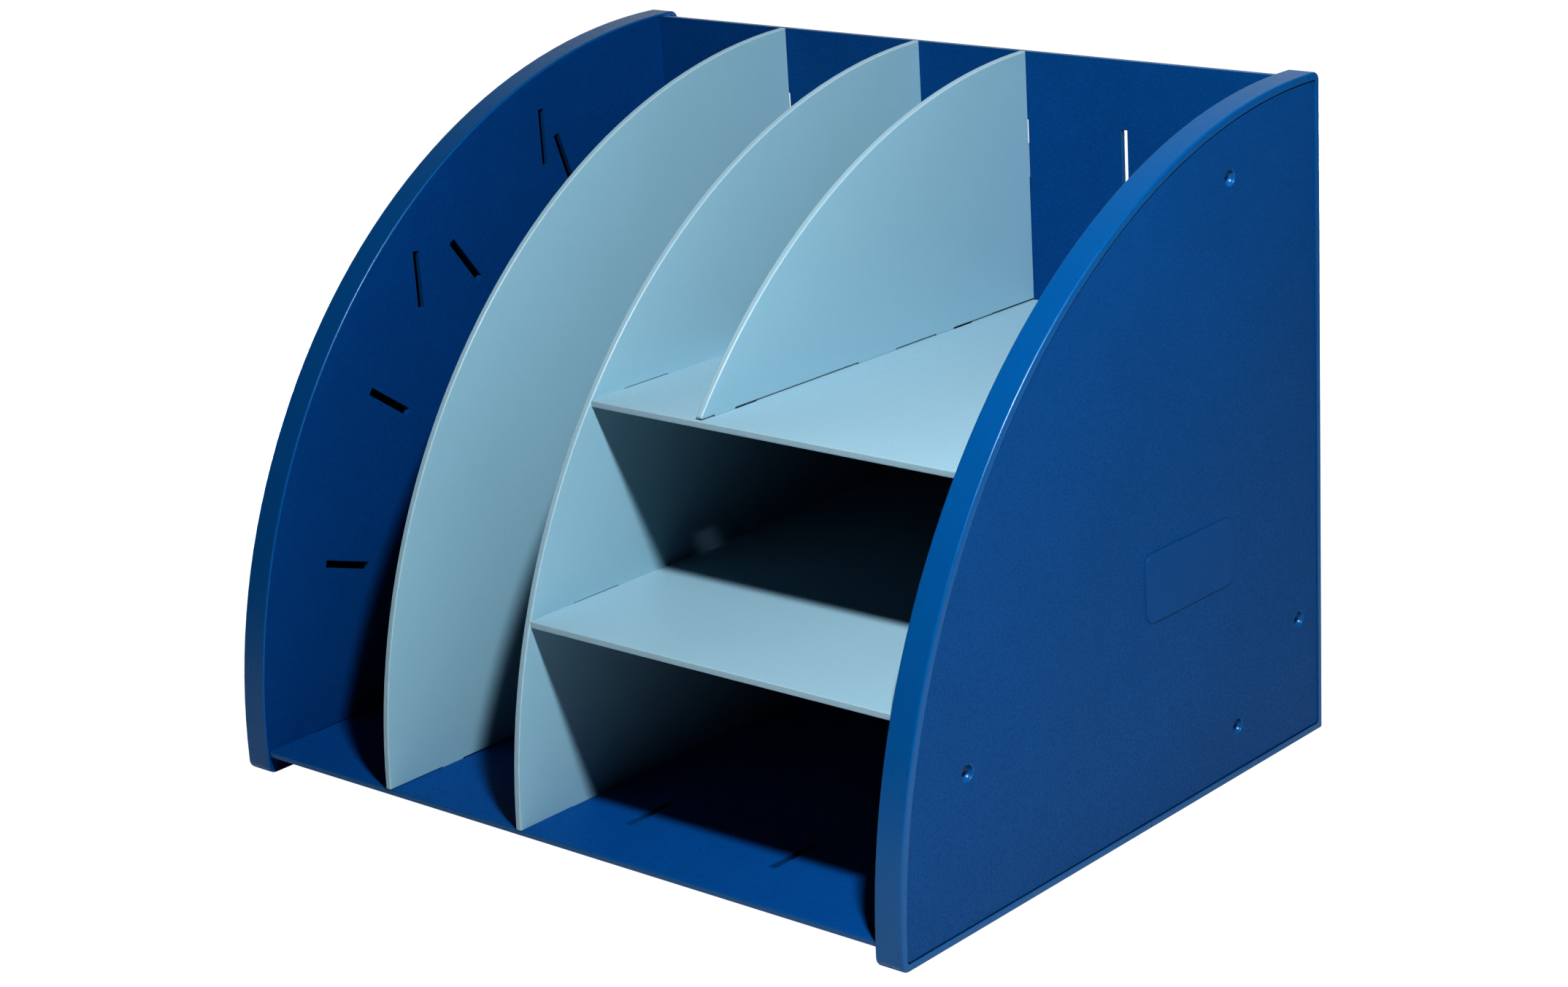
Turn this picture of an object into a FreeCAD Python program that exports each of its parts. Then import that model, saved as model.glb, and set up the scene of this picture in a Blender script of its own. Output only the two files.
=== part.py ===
"""Slot-together desk organizer: two hollow quarter-round side panels, a back and a bottom panel,
three upright dividers and two shelves.

Millimetres. +X is to the right of someone facing the organizer, -Y is its open front, +Z is up.
The origin is the bottom centre of the bounding box, and the side panels stand on Z = 0.
"""
import FreeCAD, Part
import math
import os

V = FreeCAD.Vector

# Overall size
WIDTH = 430.0
DEPTH = 338.0
HEIGHT = 335.0

# Quarter-round profile shared by the side panels, dividers and shelf fronts
ARC_BEHIND = 6.0            # arc centre, forward of the rear edge
ARC_UP = 3.0                # arc centre, above the base
PLATE_INSET = 0.8           # how far the dividers' edge lies inside the side panels' edge

# Sheet and wall thicknesses
SIDE_T = 15.2               # one hollow side panel
WEB_T = 3.0                 # its inner wall, which the slots go through
COVER_T = 3.0               # its outer cover plate
LIP_T = 3.6                 # rim beside the cover
RIM_T = 5.4                 # rim wall behind the cover, which leaves a ledge
GROOVE = 0.5                # gap between the rim and the cover
PANEL_T = 3.2               # back and bottom panels
PLATE_T = 3.5               # dividers and shelves

# Corner radii at the front, top and heel of the quarter-round outlines
RIM_CORNERS = (5.0, 5.0, 1.2)
CAVITY_CORNERS = (2.0, 2.0, 1.0)
SEAT_CORNERS = (2.4, 1.5, 1.2)
COVER_CORNERS = (2.0, 1.2, 0.9)

# Edges
RIM_EDGE_R = 1.1
INNER_EDGE_R = 1.0
COVER_EDGE_R = 0.5
COVER_RECESS = 0.4          # cover's face, inside the rim's outermost plane
PLATE_EDGE_R = 0.7
TOE_R = 1.0                 # tip of the short divider's acute toe

# Places of the panels, from the base or from the rear edge
BOTTOM_UNDER = 9.2
BOTTOM_FRONT_INSET = 1.6
BACK_FACE = 14.3            # front face of the back panel, forward of the rear edge
BACK_TOP = 333.8
BACK_UNDER = 3.0

# Dividers and shelves
BAY_PITCH = 90.5            # between neighbouring full-height divider places
LEFT_PLACE = -110.3
MIDDLE_PLACE = LEFT_PLACE + BAY_PITCH
SHORT_PLACE = 49.2
UPPER_SHELF_TOP = 206.3
LOWER_SHELF_TOP = 112.1

# Slots and tabs
SLOT_L = 30.0
SLOT_W = 4.0
TAB_CLEARANCE = 0.75        # each end of a tab, in its slot
TAB_REACH = 3.0             # how far a tab stands past the sheet it goes through
LIFT_GAP = 0.3              # around a divider that lifts out
LIFT_TAB_L = 16.0           # back tabs, low in their slots, which leave 13 mm to lift
FOOT_TAB_L = 14.0           # foot tabs that fill the front half of their slots

# Slot places: distance of the slot's middle from the rear edge, or its height
FOOT_SLOTS = (288.4, 75.0)              # bottom panel, for divider feet
SIDE_SLOTS = (288.4, 75.0)              # side panels, for the bottom panel's tabs
BACK_SLOT_HIGH = 284.5
BACK_SLOT_LOW = 75.0
BACK_SIDE_HEIGHTS = (115.0, 245.0)      # side panels, for the back panel's tabs
UPPER_SHELF_SLOTS = (230.0, 60.0)
LOWER_SHELF_SLOTS = (275.0, 60.0)
SHELF_BACK_PLACES = (85.0, 160.0)
BOTTOM_BACK_PLACES = (-150.0, 150.0)
SHORT_FOOT_SLOTS = (243.0, 140.5, 80.7)  # upper shelf; a long tab fills the middle one
HEEL_RELIEF_L = 35.0                    # under the short divider's rear end
HEEL_RELIEF_H = 0.5                     # on top of the gap that the whole foot has

# Spare slots in the side panels' inner walls, for other layouts
UPRIGHT_SLOTS = ((109.4, 284.4), (205.6, 228.3))     # forward of the rear edge, height
FAN_BEHIND = 10.0                       # centre of the fan of slots
FAN_UP = 8.0
FAN_INNER_R = 262.0
FAN_OUTER_R = 290.5
FAN_STEP_DEG = 18.0
FAN_COUNT = 4

# Pins that hold a cover to its shell, under the round dimples
PINS = ((287.0, 76.8), (76.4, 26.6), (20.9, 64.9), (76.7, 298.2))
PIN_R = 3.5
PIN_GAP = 0.5               # between a pin's end and the inner wall
SOCKET_CLEARANCE = 0.1
SOCKET_WALL = 1.8
SOCKET_H = 6.0
SOCKET_INSET = 1.0          # sockets stay this far inside the side panels' edge
DIMPLE_R = 3.8              # half a sphere
DIMPLE_LIP_R = 0.7
PAD_CENTRE = (115.0, 119.0)
PAD_L = 72.0
PAD_H = 34.0
PAD_R = 6.0
PAD_RISE = 0.4

PAST = 1.0                  # how far a cutting or joining solid runs past a face
NEAR = 1e-3                 # two places closer than this are the same

REAR = DEPTH / 2
SIDE_X = WIDTH / 2
INNER_X = SIDE_X - SIDE_T
RIM_R = HEIGHT - ARC_UP
ARC_Y = REAR - ARC_BEHIND
ARC_Z = ARC_UP
PLATE_R = RIM_R - PLATE_INSET
BACK_Y = REAR - BACK_FACE
BOTTOM_TOP = BOTTOM_UNDER + PANEL_T
TAB_L = SLOT_L - 2 * TAB_CLEARANCE
SHORT_FOOT_TABS = (FOOT_TAB_L, TAB_L, FOOT_TAB_L)


def box(x, y, z):
    """Box between two limits on each axis."""
    return Part.makeBox(x[1] - x[0], y[1] - y[0], z[1] - z[0], V(x[0], y[0], z[0]))


def span(middle, length):
    return (middle - length / 2, middle + length / 2)


def yz(y, z):
    return V(0, y, z)


def line(a, b):
    return Part.LineSegment(a, b).toShape()


def arc(a, b, c):
    return Part.Arc(a, b, c).toShape()


def around(centre, radius, degrees):
    """Point on a circle in the YZ plane; 0 degrees is the front, 90 degrees the top."""
    angle = math.radians(degrees)
    return centre + yz(-radius * math.cos(angle), radius * math.sin(angle))


def extrude_x(edges, x0, x1):
    """Prism along X over a closed outline drawn in the YZ plane."""
    face = Part.Face(Part.Wire(Part.__sortEdges__(edges)))
    face.translate(V(x0, 0, 0))
    return face.extrude(V(x1 - x0, 0, 0))


def profile(inset, corners):
    """Quarter-round outline, a distance inside the side panel's edge, with rounded corners."""
    front_r, top_r, heel_r = corners
    centre = yz(ARC_Y, ARC_Z)
    radius = RIM_R - inset
    rear = REAR - inset
    base = inset
    front_z = base + front_r
    front_c = yz(ARC_Y - math.sqrt((radius - front_r) ** 2 - (front_z - ARC_Z) ** 2), front_z)
    front_deg = math.degrees(math.asin((front_z - ARC_Z) / (radius - front_r)))
    on_arc = around(centre, radius, front_deg)
    on_base = yz(front_c.y, base)
    front_mid = around(front_c, front_r, (front_deg - 90) / 2)

    top_y = rear - top_r
    top_deg = 90.0
    top_c = yz(top_y, ARC_Z + radius - top_r)
    if top_y < ARC_Y:
        top_deg = math.degrees(math.acos((ARC_Y - top_y) / (radius - top_r)))
        top_c = around(centre, radius - top_r, top_deg)
    arc_end = around(centre, radius, top_deg)
    top_start = around(top_c, top_r, top_deg)
    top_mid = around(top_c, top_r, (top_deg + 180) / 2)
    top_end = yz(rear, top_c.z)

    heel_c = yz(rear - heel_r, base + heel_r)
    heel_start = yz(rear, heel_c.z)
    heel_mid = around(heel_c, heel_r, 225)
    heel_end = yz(heel_c.y, base)

    edges = [
        arc(on_base, front_mid, on_arc),
        arc(on_arc, around(centre, radius, (front_deg + top_deg) / 2), arc_end),
        arc(top_start, top_mid, top_end),
        line(top_end, heel_start),
        arc(heel_start, heel_mid, heel_end),
        line(heel_end, on_base),
    ]
    if top_y > ARC_Y:
        edges.append(line(arc_end, top_start))
    return edges


def edges_where(shape, test):
    return [edge for edge in shape.Edges if test(edge)]


def lies_at_x(edge, x):
    box_of = edge.BoundBox
    return abs(box_of.XMin - x) < NEAR and abs(box_of.XMax - x) < NEAR


def arc_front(z):
    """Y of the plates' front edge at a height."""
    return ARC_Y - math.sqrt(PLATE_R ** 2 - max(z - ARC_Z, 0) ** 2)


def fan_slot(x, degrees):
    """Radial slot through a side panel's inner wall."""
    length = FAN_OUTER_R - FAN_INNER_R
    slot = box(x, (-FAN_OUTER_R, -FAN_OUTER_R + length), span(0, SLOT_W))
    slot.rotate(V(0, 0, 0), V(1, 0, 0), -degrees)
    slot.translate(V(0, REAR - FAN_BEHIND, FAN_UP))
    return slot


def round_post(x0, x1, place, radius):
    behind, up = place
    return Part.makeCylinder(radius, x1 - x0, V(x0, REAR - behind, up), V(1, 0, 0))


def side_shell(with_shelf_slots):
    """Right-hand shell: inner wall and rim, open towards +X."""
    body = extrude_x(profile(0, RIM_CORNERS), INNER_X, SIDE_X)
    body = body.makeFillet(INNER_EDGE_R, edges_where(body, lambda e: lies_at_x(e, INNER_X)))
    body = body.makeFillet(RIM_EDGE_R, edges_where(body, lambda e: lies_at_x(e, SIDE_X)))

    web_end = INNER_X + WEB_T
    cavity = extrude_x(profile(RIM_T, CAVITY_CORNERS), web_end, SIDE_X)
    seat = extrude_x(profile(LIP_T, SEAT_CORNERS), SIDE_X - COVER_T, SIDE_X + PAST)
    body = body.cut(cavity).cut(seat)

    within = extrude_x(profile(SOCKET_INSET, CAVITY_CORNERS), INNER_X, SIDE_X)
    bore_r = PIN_R + SOCKET_CLEARANCE
    for pin in PINS:
        post = round_post(web_end - PAST, web_end + SOCKET_H, pin, bore_r + SOCKET_WALL)
        body = body.fuse(post.common(within))
        body = body.cut(round_post(web_end, web_end + SOCKET_H + PAST, pin, bore_r))

    x = (INNER_X - PAST, web_end + PAST)
    cuts = [fan_slot(x, FAN_STEP_DEG * (i + 1)) for i in range(FAN_COUNT)]
    for behind, up in UPRIGHT_SLOTS:
        cuts.append(box(x, span(REAR - behind, SLOT_W), span(up, SLOT_L)))
    for behind in SIDE_SLOTS:
        cuts.append(box(x, span(REAR - behind, SLOT_L), span(BOTTOM_TOP - PANEL_T / 2, SLOT_W)))
    for up in BACK_SIDE_HEIGHTS:
        cuts.append(box(x, span(BACK_Y + PANEL_T / 2, SLOT_W), span(up, SLOT_L)))
    if with_shelf_slots:
        for top, places in ((UPPER_SHELF_TOP, UPPER_SHELF_SLOTS), (LOWER_SHELF_TOP, LOWER_SHELF_SLOTS)):
            for behind in places:
                cuts.append(box(x, span(REAR - behind, SLOT_L), span(top - PLATE_T / 2, SLOT_W)))
    for slot in cuts:
        body = body.cut(slot)
    return body.removeSplitter()


def dimple(middle):
    """Half-round hollow sunk along -X from a point on a face, with a rounded lip."""
    def place(depth, out):
        return middle + V(-depth, 0, out)

    reach = DIMPLE_R + DIMPLE_LIP_R
    lip_out = math.sqrt(reach ** 2 - DIMPLE_LIP_R ** 2)
    lip_turn = math.acos(DIMPLE_LIP_R / reach)      # angle that the lip turns through
    meet = DIMPLE_R / reach
    lip_mid = place(DIMPLE_LIP_R * (1 - math.cos(lip_turn / 2)),
                    lip_out - DIMPLE_LIP_R * math.sin(lip_turn / 2))
    bowl_angle = math.asin(DIMPLE_LIP_R / reach)    # below the face, where the bowl meets the lip
    bowl_mid = (bowl_angle + math.pi / 2) / 2
    outline = Part.Wire([
        line(place(0, 0), place(0, lip_out)),
        arc(place(0, lip_out), lip_mid, place(DIMPLE_LIP_R * meet, lip_out * meet)),
        arc(place(DIMPLE_LIP_R * meet, lip_out * meet),
            place(DIMPLE_R * math.sin(bowl_mid), DIMPLE_R * math.cos(bowl_mid)), place(DIMPLE_R, 0)),
        line(place(DIMPLE_R, 0), place(0, 0)),
    ])
    return Part.Face(outline).revolve(middle, V(1, 0, 0), 360)


def side_cover():
    """Right-hand cover plate, flush in the rim, with four dimples outside and four pins inside."""
    face_x = SIDE_X - COVER_RECESS
    body = extrude_x(profile(LIP_T + GROOVE, COVER_CORNERS), SIDE_X - COVER_T, face_x)
    body = body.makeFillet(COVER_EDGE_R, edges_where(body, lambda e: lies_at_x(e, face_x)))
    for behind, up in PINS:
        body = body.fuse(round_post(INNER_X + WEB_T + PIN_GAP, SIDE_X - COVER_T + PAST, (behind, up), PIN_R))
        body = body.cut(dimple(V(face_x, REAR - behind, up)))
    behind, up = PAD_CENTRE
    pad = box((face_x - PAST, face_x + PAD_RISE), span(REAR - behind, PAD_L), span(up, PAD_H))
    pad = pad.makeFillet(PAD_R, edges_where(pad, lambda e: e.BoundBox.XLength > PAD_RISE))
    return body, pad


def mirror_x(shape):
    return shape.mirror(V(0, 0, 0), V(1, 0, 0))


def back_panel():
    y = (BACK_Y, BACK_Y + PANEL_T)
    through = (BACK_Y - PAST, BACK_Y + PANEL_T + PAST)
    body = box((-INNER_X, INNER_X), y, (BACK_UNDER, BACK_TOP))
    reach = WEB_T + TAB_REACH
    for up in BACK_SIDE_HEIGHTS:
        body = body.fuse(box((-INNER_X - reach, INNER_X + reach), y, span(up, TAB_L)))
    places = [LEFT_PLACE, MIDDLE_PLACE, -MIDDLE_PLACE, -LEFT_PLACE]
    uprights = [(x, up) for x in places for up in (BACK_SLOT_HIGH, BACK_SLOT_LOW)]
    uprights.append((SHORT_PLACE, BACK_SLOT_HIGH))
    for x, up in uprights:
        body = body.cut(box(span(x, SLOT_W), through, span(up, SLOT_L)))
    for x in SHELF_BACK_PLACES:
        for top in (UPPER_SHELF_TOP, LOWER_SHELF_TOP):
            body = body.cut(box(span(x, SLOT_L), through, span(top - PLATE_T / 2, SLOT_W)))
    for x in BOTTOM_BACK_PLACES:
        body = body.cut(box(span(x, SLOT_L), through, span(BOTTOM_TOP - PANEL_T / 2, SLOT_W)))
    return body.removeSplitter()


def bottom_panel():
    z = (BOTTOM_UNDER, BOTTOM_TOP)
    through = (BOTTOM_UNDER - PAST, BOTTOM_TOP + PAST)
    front = -REAR + BOTTOM_FRONT_INSET
    body = box((-INNER_X, INNER_X), (front, BACK_Y), z)
    body = body.makeFillet(PLATE_EDGE_R, edges_where(
        body, lambda e: abs(e.BoundBox.YMin - front) < NEAR and e.BoundBox.XLength > WIDTH / 2
        and e.BoundBox.YLength < NEAR))
    reach = WEB_T + TAB_REACH
    for behind in SIDE_SLOTS:
        body = body.fuse(box((-INNER_X - reach, INNER_X + reach), span(REAR - behind, TAB_L), z))
    for x in BOTTOM_BACK_PLACES:
        body = body.fuse(box(span(x, TAB_L), (BACK_Y - PAST, BACK_Y + PANEL_T + TAB_REACH), z))
    for x in (LEFT_PLACE, MIDDLE_PLACE, -MIDDLE_PLACE, -LEFT_PLACE):
        for behind in FOOT_SLOTS:
            body = body.cut(box(span(x, SLOT_W), span(REAR - behind, SLOT_L), through))
    return body.removeSplitter()


def upright_plate(place, foot_z, heel_y):
    """Quarter-round sheet standing on its straight edge."""
    x = span(place, PLATE_T)
    centre = yz(ARC_Y, ARC_Z)
    low = math.degrees(math.asin((foot_z - ARC_Z) / PLATE_R))
    high = math.degrees(math.acos((ARC_Y - heel_y) / PLATE_R))
    toe, top = around(centre, PLATE_R, low), around(centre, PLATE_R, high)
    heel = yz(heel_y, foot_z)
    return extrude_x([
        arc(toe, around(centre, PLATE_R, (low + high) / 2), top),
        line(top, heel),
        line(heel, toe),
    ], *x)


def round_front(body):
    """Round both edges of an upright sheet's front, and whatever runs on smoothly from them."""
    return body.makeFillet(PLATE_EDGE_R, edges_where(body, lambda e: e.BoundBox.XLength < NEAR
                                                     and isinstance(e.Curve, Part.Circle)
                                                     and e.Length > TOE_R * math.pi))


def foot_tab(place, foot_z, front_y, length, reach):
    return box(span(place, PLATE_T), (front_y, front_y + length), (foot_z - reach, foot_z + PAST))


def back_tab(place, heel_y, low_z, length):
    end = BACK_Y + PANEL_T + TAB_REACH
    return box(span(place, PLATE_T), (heel_y - PAST, end), (low_z, low_z + length))


def divider_left():
    """Full-height divider, clear of its neighbours so that it lifts to unlock."""
    foot, heel = BOTTOM_TOP + LIFT_GAP, BACK_Y - LIFT_GAP
    body = round_front(upright_plate(LEFT_PLACE, foot, heel))
    for behind in FOOT_SLOTS:
        start = REAR - behind - SLOT_L / 2 + TAB_CLEARANCE
        body = body.fuse(foot_tab(LEFT_PLACE, foot, start, FOOT_TAB_L, LIFT_GAP + PANEL_T + TAB_REACH))
    for up in (BACK_SLOT_HIGH, BACK_SLOT_LOW):
        low = up - SLOT_L / 2 + TAB_CLEARANCE
        body = body.fuse(back_tab(LEFT_PLACE, heel, low, LIFT_TAB_L))
    return body.removeSplitter()


def divider_middle():
    """Full-height divider that the shelves' left tabs go through."""
    body = round_front(upright_plate(MIDDLE_PLACE, BOTTOM_TOP, BACK_Y))
    for behind in FOOT_SLOTS:
        start = REAR - behind - TAB_L / 2
        body = body.fuse(foot_tab(MIDDLE_PLACE, BOTTOM_TOP, start, TAB_L, PANEL_T + TAB_REACH))
    for up in (BACK_SLOT_HIGH, BACK_SLOT_LOW):
        body = body.fuse(back_tab(MIDDLE_PLACE, BACK_Y, up - TAB_L / 2, TAB_L))
    x = span(MIDDLE_PLACE, PLATE_T + 2 * PAST)
    for top, places in ((UPPER_SHELF_TOP, UPPER_SHELF_SLOTS), (LOWER_SHELF_TOP, LOWER_SHELF_SLOTS)):
        for behind in places:
            body = body.cut(box(x, span(REAR - behind, SLOT_L), span(top - PLATE_T / 2, SLOT_W)))
    return body.removeSplitter()


def divider_short():
    """Divider that stands on the upper shelf and lifts to unlock."""
    foot, heel = UPPER_SHELF_TOP + LIFT_GAP, BACK_Y - LIFT_GAP
    body = upright_plate(SHORT_PLACE, foot, heel)
    toe_y = min(vertex.Y for vertex in body.Vertexes)
    body = body.makeFillet(TOE_R, edges_where(body, lambda e: abs(e.BoundBox.YMin - toe_y) < NEAR
                                              and e.BoundBox.YLength < NEAR))
    body = round_front(body)
    body = body.cut(box(span(SHORT_PLACE, PLATE_T + 2 * PAST), (heel - HEEL_RELIEF_L, heel + PAST),
                        (foot - PAST, foot + HEEL_RELIEF_H)))
    for behind, length in zip(SHORT_FOOT_SLOTS, SHORT_FOOT_TABS):
        start = REAR - behind - SLOT_L / 2 + TAB_CLEARANCE
        body = body.fuse(foot_tab(SHORT_PLACE, foot, start, length, LIFT_GAP + PLATE_T + TAB_REACH))
    low = BACK_SLOT_HIGH - SLOT_L / 2 + TAB_CLEARANCE
    body = body.fuse(back_tab(SHORT_PLACE, heel, low, LIFT_TAB_L))
    return body.removeSplitter()


def shelf(top, side_places):
    """Level sheet from the middle divider to the right side panel, front edge on the arc."""
    z = (top - PLATE_T, top)
    left = MIDDLE_PLACE + PLATE_T / 2
    front = arc_front(top)
    body = box((left, INNER_X), (front, BACK_Y), z)
    body = body.makeFillet(PLATE_EDGE_R, edges_where(
        body, lambda e: abs(e.BoundBox.YMin - front) < NEAR and e.BoundBox.YLength < NEAR
        and e.BoundBox.XLength > PLATE_T))
    for behind in side_places:
        y = span(REAR - behind, TAB_L)
        body = body.fuse(box((left - PLATE_T - TAB_REACH, INNER_X + WEB_T + TAB_REACH), y, z))
    for x in SHELF_BACK_PLACES:
        body = body.fuse(box(span(x, TAB_L), (BACK_Y - PAST, BACK_Y + PANEL_T + TAB_REACH), z))
    return body


def upper_shelf():
    body = shelf(UPPER_SHELF_TOP, UPPER_SHELF_SLOTS)
    for behind in SHORT_FOOT_SLOTS:
        body = body.cut(box(span(SHORT_PLACE, SLOT_W), span(REAR - behind, SLOT_L),
                            (UPPER_SHELF_TOP - PLATE_T - PAST, UPPER_SHELF_TOP + PAST)))
    return body.removeSplitter()


def lower_shelf():
    return shelf(LOWER_SHELF_TOP, LOWER_SHELF_SLOTS).removeSplitter()


def build():
    cover, pad = side_cover()
    return {
        "side_shell_right": side_shell(True),
        "side_shell_left": mirror_x(side_shell(False)),
        "side_cover_right": cover.fuse(pad).removeSplitter(),
        "side_cover_left": mirror_x(cover.removeSplitter()),
        "back_panel": back_panel(),
        "bottom_panel": bottom_panel(),
        "divider_left": divider_left(),
        "divider_middle": divider_middle(),
        "divider_short": divider_short(),
        "upper_shelf": upper_shelf(),
        "lower_shelf": lower_shelf(),
    }


os.makedirs("parts", exist_ok=True)
for name, shape in build().items():
    solids = shape.Solids
    bounds = shape.optimalBoundingBox(False)
    print(f"{name}: {len(solids)} solid, valid {shape.isValid()}, {shape.Volume / 1000:.1f} cm3, "
          f"x {bounds.XMin:.1f}..{bounds.XMax:.1f}, y {bounds.YMin:.1f}..{bounds.YMax:.1f}, "
          f"z {bounds.ZMin:.1f}..{bounds.ZMax:.1f}")
    (solids[0] if len(solids) == 1 else shape).exportStep(f"parts/{name}.step")
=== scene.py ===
"""Slot-together desk organizer: looks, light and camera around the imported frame.

Metres. +X is to the right of someone facing the organizer, -Y is its open front, +Z is up.
"""
import math

import bpy
from mathutils import Matrix, Vector


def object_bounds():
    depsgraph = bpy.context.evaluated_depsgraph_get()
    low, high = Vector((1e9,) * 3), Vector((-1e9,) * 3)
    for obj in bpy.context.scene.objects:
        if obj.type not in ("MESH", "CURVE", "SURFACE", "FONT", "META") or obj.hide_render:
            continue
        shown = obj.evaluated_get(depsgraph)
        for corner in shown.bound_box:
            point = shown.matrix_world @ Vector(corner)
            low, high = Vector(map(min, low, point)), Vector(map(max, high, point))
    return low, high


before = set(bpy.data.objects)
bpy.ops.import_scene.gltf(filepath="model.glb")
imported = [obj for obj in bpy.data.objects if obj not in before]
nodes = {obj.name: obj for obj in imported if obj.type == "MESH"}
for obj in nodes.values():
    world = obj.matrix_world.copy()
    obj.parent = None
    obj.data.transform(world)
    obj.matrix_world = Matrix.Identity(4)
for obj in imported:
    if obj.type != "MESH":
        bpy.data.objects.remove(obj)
cad_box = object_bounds()
low, high = cad_box
X, Y, Z = range(3)

# Camera, on the right of the open front and a little above it
CAMERA_PLACE = Vector((1.01956, -1.10660, 0.61259))
CAMERA_RIGHT = Vector((0.79202623, 0.60929304, -0.03816325))
CAMERA_UP = Vector((-0.17955959, 0.29224686, 0.93933494))
CAMERA_BACK = Vector((0.58348333, -0.73712533, 0.34087159))
CAMERA_LENS = 72.98
CAMERA_SHIFT = (-0.1388, 0.0759)

# Key light, a small source above the open front's right-hand side
KEY_PLACE = (0.625, -0.408, 0.963)
KEY_RADIUS = 0.040
KEY_POWER = 54.0

# Fill lights, low behind the back and low on the left, each narrower than the side that it lights
FILL_AWAY = 0.90            # from the side that it lights
FILL_UP = 0.15              # its height above the floor, and its own height
FILL_WIDTH = 0.9            # of that side's width
FILL_POWER = 5.0

# Surroundings: a dark room with a white floor, and a pale wall behind and to the left
AWAY = (-0.62, 0.78, 0.10)  # towards the middle of the pale wall
AWAY_EDGE = (0.45, 0.95)    # dot product with AWAY at the wall's dark rim and at its full level
AWAY_LEVEL = 0.50
BOUNCE_ALBEDO = 0.80        # floor, as the organizer's surfaces see it
BOUNCE_BELOW = 0.001
FLOOR_ALBEDO = 0.20         # floor, as the camera sees it
PALE_GLOW = 0.70            # floor and backdrop, as the camera sees them
FLOOR_HALF = 30.0
BACKDROP_R = 29.0
BACKDROP_SIDES = 64

# Painted shadow on the floor under the organizer, where the floor's glow fades out: where the fade starts
# and where the shadow is full, inside the bounding box
PAINTED_SHADOW_SIDES = (0.02, 0.05)
PAINTED_SHADOW_FRONT = (0.025, 0.065)
PAINTED_SHADOW_BACK = (0.015, 0.05)

# Colours, linear. All the blues are one plastic. The differences between them are painted light and shade:
# each surface's colour is tuned to how brightly it is lit.
FACE_BLUE = (0.0004, 0.0668, 0.2055, 1)     # side panels' covers
# Lighter than the covers' blue: painted light on the rims and on the panels' edges
RIM_BLUE_PAINTED_LIGHT = (0.0004, 0.0830, 0.2300, 1)
# Darker than the covers' blue: painted shade on the side panels' inner faces
INNER_BLUE_PAINTED_SHADE = (0.0004, 0.0590, 0.1950, 1)    # side panels' inner faces
BACK_BLUE = (0.0004, 0.0685, 0.2105, 1)
# Lighter than the covers' blue: painted light on the bottom panel
BASE_BLUE_PAINTED_LIGHT = (0.0004, 0.0740, 0.2370, 1)
UPRIGHT_BLUE = (0.2370, 0.3930, 0.4770, 1)
# Same sheet plastic as the uprights: the shelves' greyer tint is a painted sheen on their tops
SHELF_BLUE_PAINTED_SHEEN = (0.2500, 0.3850, 0.4600, 1)
# Same sheet plastic: the edges' greyer tint is a painted highlight along them
EDGE_BLUE_PAINTED_HIGHLIGHT = (0.2650, 0.3880, 0.4560, 1)     # sheets' edges

# Leather grain: CELLS are per metre
GRAIN_CELLS = 800.0
FINE_CELLS = 2600.0
PATCH_CELLS = 9.0
MOTTLE_CELLS = 60.0
WARP_CELLS = 420.0          # of the noise that bends the grain
WARP = 0.0012               # how far it bends the grain
GRAIN_SPECULAR = 0.15

# Smooth plastic: CELLS are per metre
FLOW_CELLS = 7.0
CLOUD_CELLS = 240.0
SCUFF_CELLS = 420.0
SCUFF_STRETCH = 0.12        # scuffs run upright
RIPPLE_CELLS = 35.0
DUST_CELLS = 1500.0
SPECK_CELLS = 22.0
SPECKS = 0.55               # how dark the specks on the sheets are

RELIEF = 0.00010            # height of grain and ripples
SOFT_EDGE = 0.0004          # radius that the shading rounds edges to
SOFT_EDGE_SAMPLES = 4

FLAT = 0.98                 # a face whose normal is this much along an axis lies across it
SHELL_FACE = 0.2005         # a shell's grained inner face lies inside this X
COVER_FACE = 0.2148         # a cover's grained face lies inside this X, and its pad outside


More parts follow.
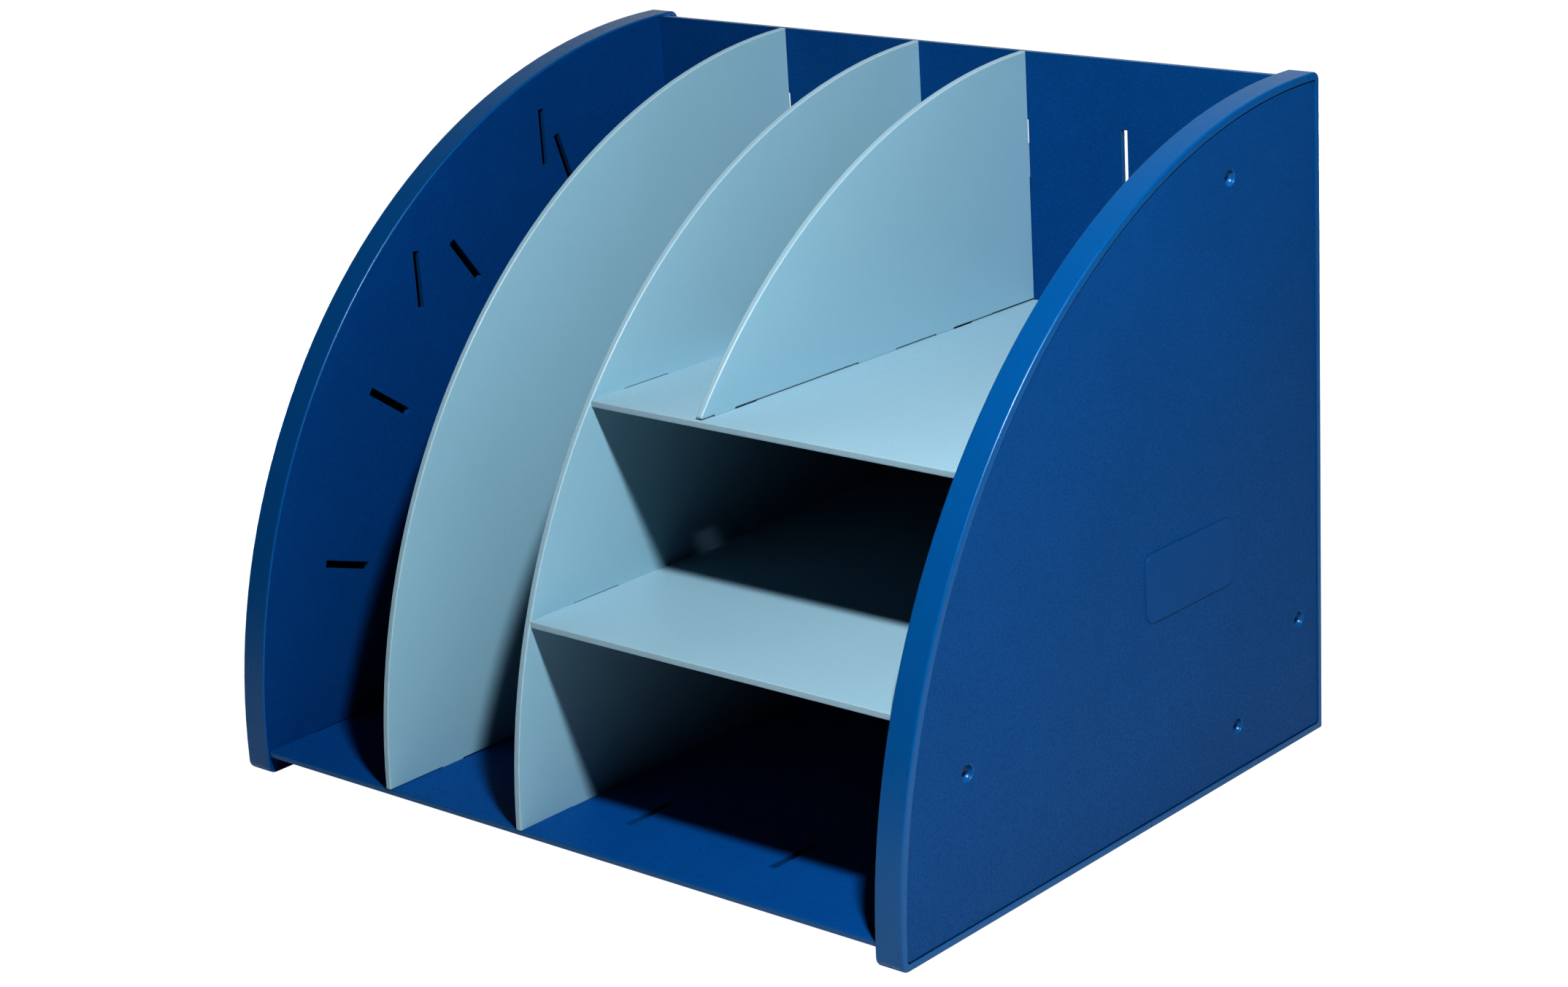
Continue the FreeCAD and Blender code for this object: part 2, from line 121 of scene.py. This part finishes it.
class Nodes:
    """Short calls for building one node tree."""

    def __init__(self, tree):
        self.tree = tree

    def add(self, kind, inputs=None, **settings):
        node = self.tree.nodes.new("ShaderNode" + kind)
        for name, value in settings.items():
            setattr(node, name, value)
        for name, value in (inputs or {}).items():
            self.feed(node.inputs[name], value)
        return node

    def feed(self, socket, value):
        """Links a socket to another node's output, or gives it a fixed value."""
        if isinstance(value, bpy.types.NodeSocket):
            self.tree.links.new(value, socket)
        else:
            socket.default_value = value

    def math(self, operation, a, b=0.0):
        return self.add("Math", {0: a, 1: b}, operation=operation).outputs[0]

    def remap(self, value, start, end, to_start=0.0, to_end=1.0, smooth=False):
        kind = "SMOOTHSTEP" if smooth else "LINEAR"
        node = self.add("MapRange", {"Value": value, "From Min": start, "From Max": end,
                                     "To Min": to_start, "To Max": to_end}, interpolation_type=kind)
        return node.outputs["Result"]

    def noise(self, vector, scale, detail=2.0, rough=0.5):
        node = self.add("TexNoise", {"Vector": vector, "Scale": scale, "Detail": detail, "Roughness": rough})
        return node.outputs["Fac"]

    def shade(self, colour, tone):
        """A colour made lighter or darker by a tone near 1."""
        level = self.add("CombineColor", {0: tone, 1: tone, 2: tone})
        # Of the mix node's sockets, 0 is the factor, 6 and 7 the colours, and output 2 the result
        product = self.add("Mix", {0: 1.0, 6: colour, 7: level.outputs[0]},
                           data_type="RGBA", blend_type="MULTIPLY")
        return product.outputs[2]

    def relief(self, strength, height):
        """Bump on top of softly rounded edges."""
        edge = self.add("Bevel", {"Radius": SOFT_EDGE}, samples=SOFT_EDGE_SAMPLES)
        bump = self.add("Bump", {"Strength": strength, "Distance": RELIEF, "Height": height,
                                 "Normal": edge.outputs[0]})
        return bump.outputs[0]


def new_material(name, roughness, specular):
    material = bpy.data.materials.new(name)
    material.use_nodes = True
    tree = material.node_tree
    tree.nodes.clear()
    n = Nodes(tree)
    shader = n.add("BsdfPrincipled", {"Roughness": roughness, "Specular IOR Level": specular})
    n.add("OutputMaterial", {"Surface": shader.outputs[0]})
    return material, n, shader


def grained_plastic(name, colour):
    """Moulded plastic with a fine leather grain."""
    material, n, shader = new_material(name, 0.5, GRAIN_SPECULAR)
    place = n.add("TexCoord").outputs["Object"]
    warp = n.add("TexNoise", {"Vector": place, "Scale": WARP_CELLS, "Detail": 2.0})
    centred = n.add("VectorMath", {0: warp.outputs["Color"], 1: (0.5, 0.5, 0.5)}, operation="SUBTRACT")
    bent = n.add("VectorMath", {0: centred.outputs[0], 1: (WARP, WARP, WARP), 2: place},
                 operation="MULTIPLY_ADD")
    cells = n.add("TexVoronoi", {"Vector": bent.outputs[0], "Scale": GRAIN_CELLS}, feature="F1")
    bead = n.remap(cells.outputs["Distance"], 0.15, 0.75, 1.0, 0.0, smooth=True)
    fine = n.noise(place, FINE_CELLS, 2.0)
    patches = n.noise(place, PATCH_CELLS, 3.0, 0.55)
    mottle = n.noise(place, MOTTLE_CELLS, 3.0, 0.6)
    tone = n.math("ADD", n.remap(patches, 0.30, 0.70, 0.955, 1.045),
                  n.remap(mottle, 0.30, 0.70, 0.015, -0.030))
    tone = n.math("MULTIPLY", tone, n.remap(bead, 0.0, 1.0, 0.91, 1.055))
    n.feed(shader.inputs["Base Color"], n.shade(colour, tone))
    rough = n.math("ADD", n.remap(bead, 0.0, 1.0, 0.58, 0.46), n.remap(patches, 0.0, 1.0, -0.03, 0.03))
    n.feed(shader.inputs["Roughness"], rough)
    height = n.math("ADD", bead, n.math("MULTIPLY", fine, 0.25))
    n.feed(shader.inputs["Normal"], n.relief(0.50, height))
    return material


def smooth_plastic(name, colour, specular, polish, specks=0.0):
    """Smooth moulded plastic: faint flow marks, fine scuffs and perhaps a few dark specks."""
    material, n, shader = new_material(name, polish, specular)
    place = n.add("TexCoord").outputs["Object"]
    patches = n.noise(place, FLOW_CELLS, 3.0, 0.5)
    mottle = n.noise(place, CLOUD_CELLS, 3.0, 0.6)
    tone = n.math("ADD", n.remap(patches, 0.30, 0.70, 0.975, 1.020),
                  n.remap(mottle, 0.35, 0.75, 0.005, -0.013))
    if specks:
        spots = n.add("TexVoronoi", {"Vector": place, "Scale": SPECK_CELLS}, feature="F1")
        tone = n.math("SUBTRACT", tone, n.remap(spots.outputs["Distance"], 0.012, 0.020, specks, 0.0))
    n.feed(shader.inputs["Base Color"], n.shade(colour, tone))
    stretched = n.add("Mapping", {"Vector": place, "Scale": (1.0, 1.0, SCUFF_STRETCH)})
    scuffs = n.noise(stretched.outputs[0], SCUFF_CELLS, 4.0, 0.65)
    rough = n.math("ADD", n.remap(scuffs, 0.3, 0.7, polish - 0.04, polish + 0.07),
                   n.remap(patches, 0.0, 1.0, -0.02, 0.02))
    n.feed(shader.inputs["Roughness"], rough)
    dust = n.math("MULTIPLY", n.noise(place, DUST_CELLS, 2.0), 0.06)
    ripple = n.math("ADD", n.noise(place, RIPPLE_CELLS, 2.0), dust)
    n.feed(shader.inputs["Normal"], n.relief(0.30, ripple))
    return material


def dress(names, axis, flat, edge, inside=1.0):
    """Gives the faces across an axis, no further out than a limit, one material and all others another."""
    for name in names:
        mesh = nodes[name].data
        mesh.materials.clear()
        mesh.materials.append(flat)
        mesh.materials.append(edge)
        for face in mesh.polygons:
            across = abs(face.normal[axis]) > FLAT and abs(face.center[axis]) < inside
            face.material_index = 0 if across else 1


def dress_pad(finish):
    """The plain raised pad on the right cover."""
    mesh = nodes["side_cover_right"].data
    mesh.materials.append(finish)
    for face in mesh.polygons:
        if face.center.x > COVER_FACE:
            face.material_index = len(mesh.materials) - 1


def dress_panels():
    # The rim, inner and base blues carry painted light and shade
    rim = smooth_plastic("side_blue_rim", RIM_BLUE_PAINTED_LIGHT, 0.35, 0.30)
    dress(("side_shell_right", "side_shell_left"), X,
          grained_plastic("side_blue_inner", INNER_BLUE_PAINTED_SHADE), rim, SHELL_FACE)
    dress(("side_cover_right", "side_cover_left"), X,
          grained_plastic("side_blue_face", FACE_BLUE), rim, COVER_FACE)
    dress_pad(smooth_plastic("side_blue_pad", FACE_BLUE, 0.15, 0.50))
    dress(("back_panel",), Y, grained_plastic("panel_blue_back", BACK_BLUE), rim)
    dress(("bottom_panel",), Z, grained_plastic("panel_blue_base", BASE_BLUE_PAINTED_LIGHT), rim)


def dress_sheets():
    # The edge colour carries a painted highlight
    edge = smooth_plastic("sheet_edge", EDGE_BLUE_PAINTED_HIGHLIGHT, 0.32, 0.34)
    dress(("divider_left", "divider_middle", "divider_short"), X,
          smooth_plastic("sheet_upright", UPRIGHT_BLUE, 0.28, 0.42, SPECKS), edge)
    # The shelf colour carries a painted sheen
    dress(("upper_shelf", "lower_shelf"), Z,
          smooth_plastic("sheet_shelf", SHELF_BLUE_PAINTED_SHEEN, 0.28, 0.42, SPECKS), edge)


def add_stage(name, verts, faces, albedo, glow=0.0):
    """A pale matt surface that isn't part of the object."""
    mesh = bpy.data.meshes.new(name)
    mesh.from_pydata(verts, [], faces)
    stage = bpy.data.objects.new(name, mesh)
    bpy.context.scene.collection.objects.link(stage)
    material, n, shader = new_material(name + "_pale", 1.0, 0.0)
    shader.inputs["Base Color"].default_value = (albedo, albedo, albedo, 1)
    shader.inputs["Emission Color"].default_value = (1, 1, 1, 1)
    shader.inputs["Emission Strength"].default_value = glow
    mesh.materials.append(material)
    return stage, n, shader


def add_plane(name, height, albedo):
    half = FLOOR_HALF
    corners = [(-half, -half, height), (half, -half, height), (half, half, height), (-half, half, height)]
    return add_stage(name, corners, [(0, 1, 2, 3)], albedo)


def seen_by_camera_only(stage):
    stage.visible_diffuse = False
    stage.visible_glossy = False
    stage.visible_transmission = False
    stage.visible_shadow = False


def add_backdrop():
    """Pale wall all around, far off, that closes the horizon."""
    sides = BACKDROP_SIDES
    ring = [(BACKDROP_R * math.cos(2 * math.pi * i / sides), BACKDROP_R * math.sin(2 * math.pi * i / sides))
            for i in range(sides)]
    verts = [(x, y, z) for z in (-BACKDROP_R, BACKDROP_R) for x, y in ring]
    faces = [(i, (i + 1) % sides, sides + (i + 1) % sides, sides + i) for i in range(sides)]
    faces += [tuple(range(sides)), tuple(range(sides, 2 * sides))]
    backdrop, _, _ = add_stage("backdrop", verts, faces, 0.0, PALE_GLOW)
    seen_by_camera_only(backdrop)


def add_floor():
    """Plain pale floor, with a painted shadow under the organizer where its glow fades out."""
    floor, n, shader = add_plane("floor", 0.0, FLOOR_ALBEDO)
    place = n.add("SeparateXYZ", {"Vector": n.add("TexCoord").outputs["Object"]})
    across = n.math("ABSOLUTE", place.outputs["X"])
    along = place.outputs["Y"]
    # Painted shadow: a mask that is 1 under the organizer, where the floor's glow is taken away
    start, full = PAINTED_SHADOW_SIDES
    shade = n.remap(across, high[0] - start, high[0] - full, smooth=True)
    start, full = PAINTED_SHADOW_FRONT
    shade = n.math("MULTIPLY", shade, n.remap(along, low[1] + start, low[1] + full, smooth=True))
    start, full = PAINTED_SHADOW_BACK
    shade = n.math("MULTIPLY", shade, n.remap(along, high[1] - start, high[1] - full, smooth=True))
    n.feed(shader.inputs["Emission Strength"], n.remap(shade, 0.0, 1.0, PALE_GLOW, 0.0))
    seen_by_camera_only(floor)


def add_bounce():
    """White floor that only the organizer's surfaces see, and are lit by."""
    bounce, _, _ = add_plane("floor_bounce", -BOUNCE_BELOW, BOUNCE_ALBEDO)
    bounce.visible_camera = False
    bounce.visible_shadow = False


def add_key():
    light = bpy.data.lights.new("key", "POINT")
    light.energy = KEY_POWER
    light.shadow_soft_size = KEY_RADIUS
    key = bpy.data.objects.new("key", light)
    key.location = KEY_PLACE
    bpy.context.scene.collection.objects.link(key)


def add_fill(name, side, width):
    """Soft low light that reaches only the side of the organizer that faces it."""
    light = bpy.data.lights.new(name, "AREA")
    light.energy = FILL_POWER
    light.shape = "RECTANGLE"
    light.size, light.size_y = FILL_WIDTH * width, FILL_UP
    fill = bpy.data.objects.new(name, light)
    fill.location = Vector(side) + FILL_AWAY * Vector(side).normalized() + Vector((0, 0, FILL_UP))
    fill.rotation_euler = Vector(side).to_track_quat("Z", "Y").to_euler()
    bpy.context.scene.collection.objects.link(fill)


def add_surroundings():
    """Soft studio light from a pale wall behind and to the left, in a dark room."""
    world = bpy.data.worlds.new("studio")
    bpy.context.scene.world = world
    world.use_nodes = True
    world.node_tree.nodes.clear()
    n = Nodes(world.node_tree)
    direction = n.add("TexCoord").outputs["Generated"]
    towards = n.add("VectorMath", {0: direction, 1: AWAY}, operation="DOT_PRODUCT")
    level = n.remap(towards.outputs["Value"], *AWAY_EDGE, 0.0, AWAY_LEVEL, smooth=True)
    background = n.add("Background", {"Color": (1, 1, 1, 1), "Strength": level})
    n.add("OutputWorld", {"Surface": background.outputs[0]})


def add_camera():
    data = bpy.data.cameras.new("camera")
    data.sensor_width = 36.0
    data.lens = CAMERA_LENS
    data.shift_x, data.shift_y = CAMERA_SHIFT
    data.clip_start, data.clip_end = 0.01, 100.0
    camera = bpy.data.objects.new("camera", data)
    turn = Matrix((CAMERA_RIGHT, CAMERA_UP, CAMERA_BACK)).transposed()
    camera.matrix_world = Matrix.Translation(CAMERA_PLACE) @ turn.to_4x4()
    bpy.context.scene.collection.objects.link(camera)
    bpy.context.scene.camera = camera


dress_panels()
dress_sheets()
add_floor()
add_bounce()
add_backdrop()
add_key()
add_fill("fill_behind", (0, high[1], 0), high[0] - low[0])
add_fill("fill_left", (low[0], 0, 0), high[1] - low[1])
add_surroundings()
add_camera()
bpy.context.scene.view_settings.view_transform = "Standard"
bpy.context.scene.view_settings.look = "High Contrast"
